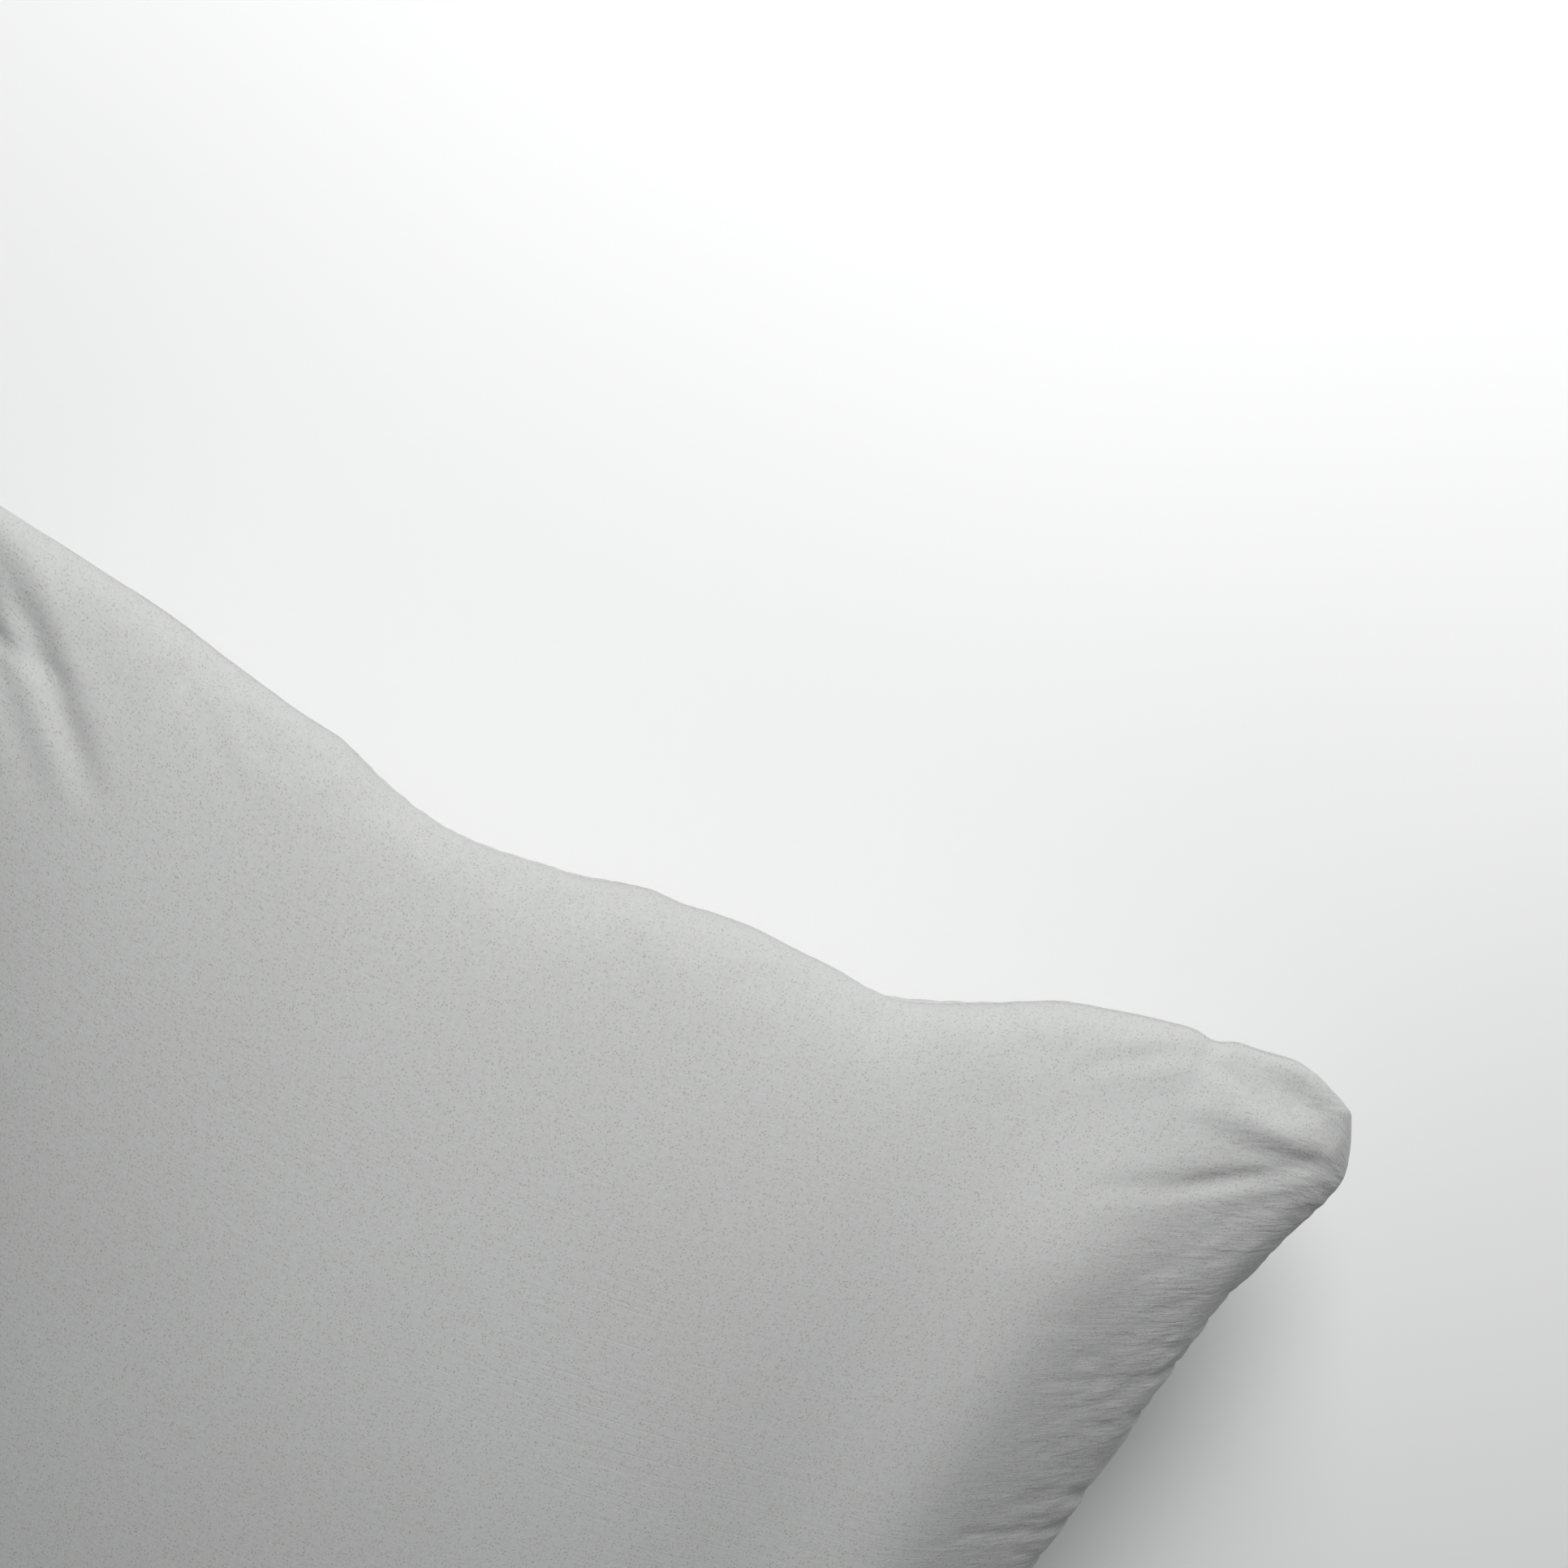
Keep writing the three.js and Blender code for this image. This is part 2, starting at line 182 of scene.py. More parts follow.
# ---------------------------------------------------------------- cover: its form, folds and puckers
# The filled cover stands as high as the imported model's and lies flat on its back panel. Its seam sinks
# into a groove between the two bulging panels, and is gathered all the way round.

COLUMNS, ROWS = 456, 264
LONG_PULL, SHORT_PULL = 0.256, 0.120
ZIP_PULL, ZIP_STRAIGHT, ZIP_MOUTH = 0.065, 0.181, 0.005
MOUTH_HALF = 0.163  # half the length of the open mouth, past which its lips are sewn shut
EAR = 0.039
FULLNESS = 0.56
HANG = 0.100  # how deep the back panel would hang if nothing flattened it
SHOULDER = 0.0100  # how much fuller the top panel stands beside the right-hand seam
PUCKER = 0.003  # the most that a wrinkle stands off the smooth form
WANDER_REACH = 0.02  # how far from the seam the cloth follows the seam's wandering
GROOVE = 0.018  # from the seam to the fullest part of the bulge beside it

top_low, top_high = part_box("cover_top_panel")
back_low, back_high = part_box("cover_bottom_panel")
seam_z = (top_low.z + back_high.z) / 2
half_gap = (top_low.z - back_high.z) / 2
crown = top_high.z - seam_z
belly = seam_z - back_low.z
half_x, half_y = (top_high.x - top_low.x) / 2, (top_high.y - top_low.y) / 2

cut_x, cut_y = np.meshgrid(
    np.linspace(-CUT_LENGTH / 2, CUT_LENGTH / 2, COLUMNS + 1),
    np.linspace(-CUT_WIDTH / 2, CUT_WIDTH / 2, ROWS + 1),
    indexing="ij",
)
u, v = cut_x / (CUT_LENGTH / 2), cut_y / (CUT_WIDTH / 2)
from_far_end, from_zip = CUT_LENGTH / 2 - cut_x, CUT_LENGTH / 2 + cut_x
from_left, from_right = CUT_WIDTH / 2 - cut_y, CUT_WIDTH / 2 + cut_y
from_rim = np.minimum(np.minimum(from_far_end, from_zip), np.minimum(from_left, from_right))


def drawn_in(inset=0.0):
    """Where the cut cloth's points lie in plan once the filled cover has drawn its sides in."""
    long_half, wide_half = half_x - inset, half_y - inset
    x, y = u * long_half, v * wide_half
    over_x = np.clip((abs(x) - (long_half - EAR)) / EAR, 0, 1)
    over_y = np.clip((abs(y) - (wide_half - EAR)) / EAR, 0, 1)
    corner = (over_x > 0) & (over_y > 0)
    bent_x = long_half - EAR + over_x * np.sqrt(1 - over_y**2 / 2) * EAR
    bent_y = wide_half - EAR + over_y * np.sqrt(1 - over_x**2 / 2) * EAR
    x = np.where(corner, np.sign(x) * bent_x, x)
    y = np.where(corner, np.sign(y) * bent_y, y)
    along, across = x / long_half, y / wide_half
    far_pull = SHORT_PULL * (1 - across**2)
    zip_pull = ZIP_PULL * (1 - smooth(ZIP_STRAIGHT, wide_half, abs(y)))
    pull = zip_pull + (far_pull - zip_pull) * (along + 1) / 2
    return x * (1 - pull), y * (1 - LONG_PULL * (1 - along**2))


def at_rest(height, deepest):
    """A height that runs into the flat patch at its deepest without a corner."""
    share = height / deepest
    blend = 0.22
    bent = share - (share - 1 + blend) ** 2 / (4 * blend)
    return deepest * np.where(share < 1 - blend, share, np.where(share < 1 + blend, bent, 1))


rim_x, rim_y = drawn_in()
stretch_x = 2 * half_x / (rim_x.max() - rim_x.min())
stretch_y = half_y / rim_y.max()
shift_x = (top_low.x + top_high.x - stretch_x * (rim_x.max() + rim_x.min())) / 2


def skin(side, inset=0.0, drop=0.0, mouth=True):
    """The smooth panel above (side 1) or below (side -1) the seam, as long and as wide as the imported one."""
    x, y = drawn_in(inset)
    x, y = x * stretch_x + shift_x, y * stretch_y
    dome = ((1 - u**2) * (1 - v**2)) ** FULLNESS
    beside = 1 - smooth(MOUTH_HALF, MOUTH_HALF + 0.015, abs(y))
    lift = half_gap + mouth * ZIP_MOUTH * beside * ((1 - u) / 2) ** 24
    if side > 0:
        height = (crown - half_gap - drop) * dome + lift
    else:
        height = at_rest((HANG - drop) * dome + lift, belly - drop)
    return np.stack([x, y, seam_z + side * height], -1)


def blurred(grid, reach):
    """The grid blurred over `reach` cells. Beyond the rim it goes on as it came, turned about the rim."""
    span = 3 * reach
    weights = np.exp(-0.5 * (np.arange(-span, span + 1) / reach) ** 2)
    weights /= weights.sum()
    for axis in (0, 1):
        line = np.moveaxis(grid, axis, 0)
        before = 2 * line[:1] - line[span:0:-1]
        after = 2 * line[-1:] - line[-2 : -span - 2 : -1]
        longer = np.concatenate([before, line, after])
        line = sum(weight * longer[k : k + len(line)] for k, weight in enumerate(weights))
        grid = np.moveaxis(line, 0, axis)
    return grid


def normals_of(grid):
    across = np.cross(np.gradient(grid, axis=0), np.gradient(grid, axis=1))
    return across / np.maximum(np.linalg.norm(across, axis=-1, keepdims=True), 1e-12)


def uneven(random, wave_x, wave_y):
    """Smooth random values, about -1 to 1, that change over the given lengths of cloth."""
    cells = (max(3, round(CUT_LENGTH / wave_x)), max(3, round(CUT_WIDTH / wave_y)))
    return resampled(random.uniform(-1, 1, (cells[0] + 1, cells[1] + 1)), COLUMNS, ROWS)


class Folds:
    """Heights to be added along a panel's normals, built up one fold at a time in the cut cloth's plane."""

    def __init__(self):
        self.height = np.zeros(cut_x.shape)

    def press(self, start, end, width, depth, seam=False):
        """A crease from start to end with a raised lip on each side. At a seam it is deepest at its start."""
        start, end = np.array(start), np.array(end)
        margin = 3.2 * width
        low, high = np.minimum(start, end) - margin, np.maximum(start, end) + margin
        columns = slice(*np.searchsorted(cut_x[:, 0], (low[0], high[0])))
        rows = slice(*np.searchsorted(cut_y[0], (low[1], high[1])))
        run = end - start
        length = np.hypot(*run)
        x, y = cut_x[columns, rows] - start[0], cut_y[columns, rows] - start[1]
        along = (x * run[0] + y * run[1]) / length**2
        aside = (x * run[1] - y * run[0]) / length
        inside = np.clip(along, 0, 1)
        if seam:
            strength = (1 - smooth(0.1, 1, inside)) * smooth(-0.4, 0.12, along)
        else:
            strength = np.sin(math.pi * inside) ** 0.8
        past = np.abs(along - inside) * length
        core = np.exp(-((aside**2 + past**2) / width**2))
        lips = np.exp(-((aside**2 + past**2) / (2.1 * width) ** 2))
        self.height[columns, rows] -= depth * strength * (1.45 * core - 0.6 * lips)


def gather(folds, random, side, strength):
    """Uneven puckers close together, square to one sewn side, with short crinkles beyond them."""
    along_x = side in ("left", "right")
    span = (CUT_LENGTH if along_x else CUT_WIDTH) / 2 - 0.02
    rim = (CUT_WIDTH if along_x else CUT_LENGTH) / 2
    sign = 1 if side in ("left", "far") else -1

    def point(along, inward):
        across = sign * (rim - inward)
        return (along, across) if along_x else (across, along)

    place = -span
    while place < span:
        pull = strength(place)
        length = random.uniform(0.008, 0.022) + 0.05 * random.random() ** 4
        lean = random.normal(0, 0.25) * length
        depth = random.uniform(0.25, 1) ** 1.5 * 0.0012 * pull
        width = random.uniform(0.0014, 0.0027)
        folds.press(point(place, 0.001), point(place + lean, length), width, depth, seam=True)
        place += random.uniform(0.0035, 0.0095)
    for _ in range(int(span * 1100)):
        place = random.uniform(-span, span)
        pull = strength(place)
        inward = 0.004 + 0.055 * random.random() ** 1.3
        length = random.uniform(0.006, 0.026)
        lean = random.normal(0, 0.5) * length
        depth = random.uniform(0.2, 1) * 0.00048 * pull * (1 - inward / 0.075)
        width = random.uniform(0.0012, 0.0022)
        folds.press(point(place, inward), point(place + lean, inward + length), width, depth)


def ear_folds(folds, random, corner_x, corner_y, count, depth):
    """Soft folds that fan out of the seam just short of one ear and run across it."""
    root = np.array([corner_x * (CUT_LENGTH / 2 - 0.036), corner_y * (CUT_WIDTH / 2 - 0.004)])
    for k in range(count):
        angle = math.radians(-32 + 62 * (k + random.uniform(0.2, 0.8)) / count)
        way = np.array([corner_x * math.sin(angle), -corner_y * math.cos(angle)])
        start = root + way * random.uniform(0.004, 0.02) + (random.uniform(-0.006, 0.006), 0)
        end = start + way * random.uniform(0.03, 0.07)
        folds.press(start, end, random.uniform(0.0030, 0.0056), random.uniform(0.35, 1) * depth)


def panel_shape(side, cloth):
    """One panel: the smooth skin, the simulated cloth's own wrinkles, the groove at the seam, the folds."""
    shape = skin(side)
    cloth = resampled(cloth, COLUMNS, ROWS)
    wrinkles = cloth - blurred(cloth, 14)
    wrinkles = PUCKER * np.tanh(wrinkles / PUCKER) * (0.3 + 0.7 * smooth(0, 0.02, from_rim))[..., None]
    wrinkles[..., 2] *= smooth(0, 0.014, from_rim)
    held = 1 - smooth(ZIP_STRAIGHT, CUT_WIDTH / 2, abs(cut_y))
    free = 1 - held * (1 - smooth(0, 0.035, from_zip))
    at_ears = smooth(0.55, 0.95, abs(u)) * smooth(0.5, 0.95, abs(v))
    at_sides = 1 - smooth(0.012, 0.07, np.minimum(from_left, from_right))
    at_ends = 1 - smooth(0.008, 0.045, np.minimum(from_far_end, from_zip))
    share = np.maximum(0.04, np.maximum(0.45 * at_ears, np.maximum(0.75 * at_sides, 0.4 * at_ends)))
    shape = shape + wrinkles * (share * free)[..., None]
    shape = shape + wandering * free[..., None]

    random = np.random.default_rng(11 if side > 0 else 23)
    bulges = {
        "right": (from_right, (0, -1), 0.003 if side > 0 else 0.008),
        "left": (from_left, (0, 1), 0.008),
        "far": (from_far_end, (1, 0), 0.006 if side > 0 else 0.001),
        "zip": (from_zip, (-1, 0), 0.003),
    }
    for name, (distance, way, size) in bulges.items():
        share = v if name in ("far", "zip") else u
        swell = distance / GROOVE * np.exp(1 - distance / GROOVE)
        size = size * (1 - share ** (10 if name == "right" else 4)) * (free if name == "zip" else 1)
        shape[..., 0] += way[0] * size * swell
        shape[..., 1] += way[1] * size * swell

    if side > 0:
        along = smooth(-0.35, 0.0, cut_x) * (1 - smooth(0.29, 0.36, cut_x))
        shape[..., 2] += SHOULDER * along * np.exp(-(((from_right - 0.071) / 0.034) ** 2))
    folds = Folds()
    gather(folds, random, "right", lambda x: 1.1 * (1 - 0.75 * smooth(0.29, 0.345, abs(x))))
    gather(folds, random, "left", lambda x: 0.8 * (1 - 0.6 * smooth(0.29, 0.345, abs(x))))
    gather(folds, random, "far", lambda y: 0.4)
    gather(folds, random, "zip", lambda y: 0.25 + 0.5 * smooth(0.17, 0.25, abs(y)))
    for corner_x in (1, -1):
        for corner_y in (-1, 1):
            ear_folds(folds, random, corner_x, corner_y, 7, 0.0009)
    if side > 0:
        for start, end, width, depth in NAMED_FOLDS:
            folds.press(start, end, width, depth)
    slack = 0.0007 * uneven(random, 0.09, 0.05) * smooth(0.02, 0.08, from_rim)
    height = folds.height * (free * smooth(-0.004, 0.004, from_rim)) + slack
    shape = shape + normals_of(shape) * side * height[..., None]
    if side < 0:
        shape[..., 2] = np.maximum(shape[..., 2], back_low.z)
    return shape


# Where the far seam is drawn in further: middle and reach along the seam, and depth. A negative depth
# lets it out.
FAR_DIPS = (
    (0.047, 0.043, 0.0125),
    (0.128, 0.030, 0.0006),
    (0.200, 0.030, 0.0036),
    (-0.070, 0.030, 0.0046),
    (-0.096, 0.026, 0.0050),
    (-0.158, 0.032, -0.0060),
    (-0.186, 0.005, 0.0022),
    (-0.246, 0.028, 0.0110),
    (0.240, 0.034, 0.0105),
    (0.0, 0.5, 0.0015),
)
# The same for the right-hand seam.
RIGHT_DIPS = (
    (0.318, 0.030, -0.0030),
    (0.282, 0.010, 0.0016),
    (0.215, 0.040, -0.0012),
    (0.145, 0.036, 0.0105),
    (0.040, 0.045, -0.0030),
    (-0.090, 0.060, 0.0040),
)

# The seam wanders a little off its line, the same way on both panels.
wander = np.random.default_rng(3)
outward = np.stack([u**9, v**9], -1)
outward /= np.maximum(np.linalg.norm(outward, axis=-1, keepdims=True), 1e-9)
aside = 0.0012 * (uneven(wander, 0.05, 0.05) + 0.8 * uneven(wander, 0.016, 0.016))
seam_wave = np.concatenate([outward * aside[..., None], 0.0014 * uneven(wander, 0.06, 0.06)[..., None]], -1)
for middle, reach, depth in FAR_DIPS:
    seam_wave[..., 0] -= depth * np.exp(-(((cut_y - middle) / reach) ** 2)) * smooth(0.3, 0.36, cut_x)
for middle, reach, depth in RIGHT_DIPS:
    seam_wave[..., 1] += depth * np.exp(-(((cut_x - middle) / reach) ** 2)) * smooth(0.18, 0.24, -cut_y)
wandering = seam_wave * np.exp(-from_rim / WANDER_REACH)[..., None]

# Folds of the top panel that stand out one by one: start and end in the cut cloth, width and depth. A
# negative depth makes a ridge.
NAMED_FOLDS = (
    ((0.370, -0.192), (0.352, -0.238), 0.0095, 0.0050),
    ((0.347, -0.180), (0.344, -0.236), 0.0055, -0.0006),
    ((0.336, -0.200), (0.340, -0.244), 0.0036, 0.0006),
    ((0.366, -0.184), (0.352, -0.150), 0.0036, 0.0008),
    ((0.360, 0.207), (0.311, 0.152), 0.0062, 0.0024),
    ((0.366, 0.240), (0.322, 0.192), 0.0150, 0.0070),
    ((0.340, 0.204), (0.300, 0.166), 0.0070, 0.0007),
    ((0.332, 0.236), (0.290, 0.196), 0.0100, 0.0030),
)

upper_cloth, lower_cloth = simulated()
top_shape = panel_shape(1, upper_cloth)
back_shape = panel_shape(-1, lower_cloth)
mouth_half = (top_shape[0, :, 2] - back_shape[0, :, 2]) / 2
for edge in (np.s_[0, :], np.s_[-1, :], np.s_[:, 0], np.s_[:, -1]):
    middle = (top_shape[edge] + back_shape[edge]) / 2
    top_shape[edge] = middle
    back_shape[edge] = middle
open_mouth = np.where(mouth_half > 0.0008, mouth_half, 0)
top_shape[0, :, 2] += open_mouth
back_shape[0, :, 2] -= open_mouth

CLOTH_THICKNESS = 0.0012
INNER_STEP = 4  # the hidden inner face of a panel is this many times coarser


def lay_cloth(mesh, laid):
    """Records where each vertex lies in the cut cloth, as the mesh's own map "cloth"."""
    corner = np.empty(len(mesh.loops), np.int32)
    mesh.loops.foreach_get("vertex_index", corner)
    mesh.uv_layers.new(name="cloth").data.foreach_set("uv", laid[corner].astype(np.float32).ravel())
    mesh.polygons.foreach_set("use_smooth", [True] * len(mesh.polygons))


def shell_mesh(name, outer, side, thickness, step):
    """A closed sheet: the outer face, a coarser inner face, and the turned edge between them."""
    inner = (blurred(outer, 3) - normals_of(outer) * side * thickness)[::step, ::step]
    fine = np.arange(outer[..., 0].size).reshape(outer.shape[:2])
    coarse = fine.size + np.arange(inner[..., 0].size).reshape(inner.shape[:2])
    faces = [*quads(fine).tolist(), *quads(coarse)[:, ::-1].tolist()]
    runs = (
        (fine[:, 0], coarse[:, 0]),
        (fine[-1], coarse[-1]),
        (fine[::-1, -1], coarse[::-1, -1]),
        (fine[0, ::-1], coarse[0, ::-1]),
    )
    for fine_run, coarse_run in runs:
        for k in range(len(coarse_run) - 1):
            here, there = int(coarse_run[k]), int(coarse_run[k + 1])
            strip = [int(number) for number in fine_run[k * step : (k + 1) * step + 1]]
            middle = len(strip) // 2
            faces += [(strip[i + 1], strip[i], here) for i in range(middle)]
            faces.append((strip[middle], here, there))
            faces += [(strip[i + 1], strip[i], there) for i in range(middle, len(strip) - 1)]
    if side < 0:
        faces = [face[::-1] for face in faces]
    mesh = bpy.data.meshes.new(name)
    points = np.concatenate([outer.reshape(-1, 3), inner.reshape(-1, 3)])
    mesh.from_pydata(points.tolist(), [], faces)
    stride = COLUMNS // (len(outer) - 1)
    cloth = np.stack([cut_x, cut_y], -1)[::stride, ::stride]
    laid = np.concatenate([cloth.reshape(-1, 2), cloth[::step, ::step].reshape(-1, 2)])
    lay_cloth(mesh, laid)
    mesh.update()
    return linked(name, mesh)


class Wire:
    """A shader socket that takes part in sums. node() makes any other node of the same material."""

    def __init__(self, tree, socket=None):
        self.tree = tree
        self.socket = socket

    def node(self, kind, settings=None, inputs=None, output=0):
        made = self.tree.nodes.new(kind)
        for name, value in (settings or {}).items():
            setattr(made, name, value)
        for key, value in (inputs or {}).items():
            if isinstance(value, Wire):
                self.tree.links.new(value.socket, made.inputs[key])
            else:
                made.inputs[key].default_value = value
        return Wire(self.tree, made.outputs[output])

    def maths(self, operation, *values):
        return self.node("ShaderNodeMath", {"operation": operation}, dict(enumerate(values)))

    def __add__(self, other):
        return self.maths("ADD", self, other)

    def __sub__(self, other):
        return self.maths("SUBTRACT", self, other)

    def __rsub__(self, other):
        return self.maths("SUBTRACT", other, self)

    def __mul__(self, other):
        return self.maths("MULTIPLY", self, other)

    __radd__ = __add__
    __rmul__ = __mul__


def finish_of(name, roughness, **constants):
    """A new material with a Principled shader, and the wire that its other nodes start from."""
    material = bpy.data.materials.new(name)
    material.use_nodes = True
    shader = material.node_tree.nodes["Principled BSDF"]
    shader.inputs["Roughness"].default_value = roughness
    for socket, value in constants.items():
        shader.inputs[socket.replace("_", " ")].default_value = value
    return material, shader, Wire(material.node_tree)


def feed(shader, wire, **values):
    for socket, value in values.items():
        wire.tree.links.new(value.socket, shader.inputs[socket.replace("_", " ")])


def noise(wire, vector, scale, detail=2.0):
    inputs = {"Vector": vector, "Scale": scale, "Detail": detail}
    return wire.node("ShaderNodeTexNoise", None, inputs)


def stretched(wire, vector, x, y, turn=0.0):
    """A place scaled differently along and across the cloth, for marks that run one way."""
    inputs = {"Vector": vector, "Rotation": (0, 0, turn), "Scale": (x, y, 1)}
    return wire.node("ShaderNodeMapping", {"vector_type": "POINT"}, inputs)


def between(wire, value, low, high):
    inputs = {"Value": value, "From Min": low, "From Max": high}
    settings = {"interpolation_type": "SMOOTHSTEP"}
    return wire.node("ShaderNodeMapRange", settings, inputs)


def mixed(wire, share, first, second):
    return wire.node("ShaderNodeMix", {"data_type": "RGBA"}, {0: share, 6: first, 7: second}, 2)


def plain_weave(wire, place, pitch):
    """The height of warp over weft and weft over warp, from 0 to 1."""
    split = wire.node("ShaderNodeSeparateXYZ", None, {0: place})
    along = split * (math.pi / pitch)
    across = Wire(wire.tree, split.socket.node.outputs[1]) * (math.pi / pitch)
    warp, weft = wire.maths("SINE", along), wire.maths("SINE", across)
    over = between(wire, warp * weft, -0.25, 0.25)
    return wire.maths("ABSOLUTE", warp) * over + wire.maths("ABSOLUTE", weft) * (1 - over)


def bumped(wire, height):
    return wire.node("ShaderNodeBump", None, {"Strength": 1.0, "Distance": 1.0, "Height": height})


COVER_LIGHT, COVER_DARK = (0.480, 0.488, 0.483, 1), (0.430, 0.434, 0.425, 1)
COVER_FLECK = (0.27, 0.25, 0.215, 1)
THREAD = 0.00042  # from one thread of the cover cloth to the next

cover_cloth, shader, wire = finish_of(
    "cover_cloth", 0.86, Sheen_Weight=0.22, Sheen_Roughness=0.45, Specular_IOR_Level=0.22
)
place = wire.node("ShaderNodeUVMap", {"uv_map": "cloth"})
weave = plain_weave(wire, place, THREAD)
slubs = noise(wire, stretched(wire, place, 90, 1100), 1.0, 3.0)
warp_slubs = noise(wire, stretched(wire, place, 1100, 110), 1.0, 3.0)
fuzz = noise(wire, place, 1500.0, 2.0)
mottle = noise(wire, place, 640.0, 3.0)
specks = wire.node("ShaderNodeTexVoronoi", {"voronoi_dimensions": "2D"}, {"Vector": place, "Scale": 800.0})
flecks = (1 - between(wire, specks, 0.06, 0.30)) * between(wire, noise(wire, place, 330.0), 0.34, 0.66)
cloud = noise(wire, place, 7.0, 2.0)

# Fine straight creases across the body, and crushed crinkles square to each sewn side.
split = wire.node("ShaderNodeSeparateXYZ", None, {0: place})
side_reach = CUT_WIDTH / 2 - wire.maths("ABSOLUTE", Wire(wire.tree, split.socket.node.outputs[1]))
end_reach = CUT_LENGTH / 2 - wire.maths("ABSOLUTE", split)


def creased(vector, scale, sharpness):
    """Thin valleys where a noise crosses its middle value: 1 in a valley, 0 outside."""
    crossing = wire.maths("ABSOLUTE", noise(wire, vector, scale, 2.0) - 0.5)
    return 1 - between(wire, crossing, 0, sharpness)


zone = between(wire, noise(wire, stretched(wire, place, 13, 8), 1.0, 3.0), 0.38, 0.8)
creases = creased(stretched(wire, place, 190, 8, 0.05), 1.0, 0.04) * zone
beside_side = 1 - between(wire, side_reach, 0.012, 0.085)
beside_end = (1 - between(wire, end_reach, 0.004, 0.03)) * 0.5
crinkles = creased(stretched(wire, place, 300, 75, 0.12), 1.0, 0.16) * beside_side
crinkles = crinkles + creased(stretched(wire, place, 75, 300, 0.12), 1.0, 0.16) * beside_end
crushed = noise(wire, stretched(wire, place, 420, 160), 1.0, 3.0) * beside_side

height = weave * 0.00003 + (slubs + warp_slubs) * 0.00004 + fuzz * 0.00004 + mottle * 0.00005
height = height - creases * 0.00004 - crinkles * 0.00008 + crushed * 0.00022
# Colour: slubs, cloud, mottle and flecks are the cloth's own uneven tone; the weave's share is painted shade,
# darker in the valleys between threads.
tone_and_weave_shade = slubs * 0.22 + warp_slubs * 0.2 + cloud * 0.35 + weave * 0.1 + mottle * 0.5
ground = mixed(wire, between(wire, tone_and_weave_shade, 0.45, 0.95), COVER_DARK, COVER_LIGHT)
feed(
    shader,
    wire,
    Base_Color=mixed(wire, flecks * 0.74, ground, COVER_FLECK),
    Normal=bumped(wire, height),
    Roughness=between(wire, fuzz, 0.2, 0.8) * 0.08 + 0.82,
)

cover_top = shell_mesh("cover_top", top_shape, 1, CLOTH_THICKNESS, INNER_STEP)
cover_back = shell_mesh("cover_back", back_shape, -1, CLOTH_THICKNESS, INNER_STEP)
for piece, node in ((cover_top, "cover_top_panel"), (cover_back, "cover_bottom_panel")):
    piece.data.materials.append(cover_cloth)
    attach(piece, "pillow")
    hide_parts(node)


# ---------------------------------------------------------------- cover: seam allowance
# The raw edges of the two panels, sewn together and turned inside: a double strip of the cover's own
# cloth along the three sewn sides, which stops short of the zip.

ALLOWANCE_WIDTH, ALLOWANCE_THICKNESS = 0.0085, 0.001
CLEAR_OF_SEAM = 0.06  # the share of its width by which it stays inside the seam

strip_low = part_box("cover_seam_allowance")[0]


def along_three_sides(grid, first):
    """The rim of a grid from column `first` on one long side, round the far end, and back."""
    return np.concatenate([grid[first:, 0], grid[-1, 1:], grid[-2 : first - 1 : -1, -1]])


first_column = int(np.searchsorted(top_shape[:, 0, 0], strip_low.x))
sewn_edge = along_three_sides((top_shape + back_shape) / 2, first_column)
turned_in = skin(1, ALLOWANCE_WIDTH, 0, False) - skin(1, 0, 0, False)
raw_edge = sewn_edge + along_three_sides(turned_in, first_column)
sewn_edge = sewn_edge + CLEAR_OF_SEAM * (raw_edge - sewn_edge)
half = np.array((0, 0, ALLOWANCE_THICKNESS / 2))
corners = [raw_edge + half, sewn_edge + half, sewn_edge - half, raw_edge - half]
ring = np.arange(4 * len(sewn_edge)).reshape(4, -1)
strip_faces = [
    (int(ring[k, i]), int(ring[k, i + 1]), int(ring[(k + 1) % 4, i + 1]), int(ring[(k + 1) % 4, i]))
    for k in range(4)
    for i in range(len(sewn_edge) - 1)
]
strip_faces += [tuple(int(n) for n in ring[:, 0]), tuple(int(n) for n in ring[::-1, -1])]
strip_mesh = bpy.data.meshes.new("seam_allowance")
strip_mesh.from_pydata(np.concatenate(corners).tolist(), [], strip_faces)


def turned_out(mesh):
    """Turns a closed mesh's faces outwards."""
    shape = bmesh.new()
    shape.from_mesh(mesh)
    bmesh.ops.recalc_face_normals(shape, faces=shape.faces)
    shape.to_mesh(mesh)
    shape.free()


turned_out(strip_mesh)
seam_allowance = linked("seam_allowance", strip_mesh)


def cloth_by_place(name, light, dark, pitch, turn=(0, 0, 0), roughness=0.86):
    """A woven finish for a small piece without a cloth map, laid in the piece's own turned X and Y."""
    material, shader, wire = finish_of(name, roughness, Sheen_Weight=0.2, Specular_IOR_Level=0.25)
    place = wire.node("ShaderNodeTexCoord", None, None, 3)
    place = wire.node("ShaderNodeMapping", None, {"Vector": place, "Rotation": turn})
    weave = plain_weave(wire, place, pitch)
    fuzz = noise(wire, place, 1500.0, 2.0)
    # Colour: the fuzz is the cloth's own uneven tone; the weave's share is painted shade, darker in the
    # valleys between threads.
    tone_and_weave_shade = between(wire, weave * 0.6 + fuzz * 0.5, 0.3, 1.0)
    height = weave * (pitch * 0.12) + fuzz * (pitch * 0.08)
    feed(shader, wire, Base_Color=mixed(wire, tone_and_weave_shade, dark, light), Normal=bumped(wire, height))
    return material


seam_allowance.data.materials.append(cloth_by_place("turned_edge_cloth", COVER_LIGHT, COVER_DARK, THREAD))
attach(seam_allowance, "pillow")
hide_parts("cover_seam_allowance")


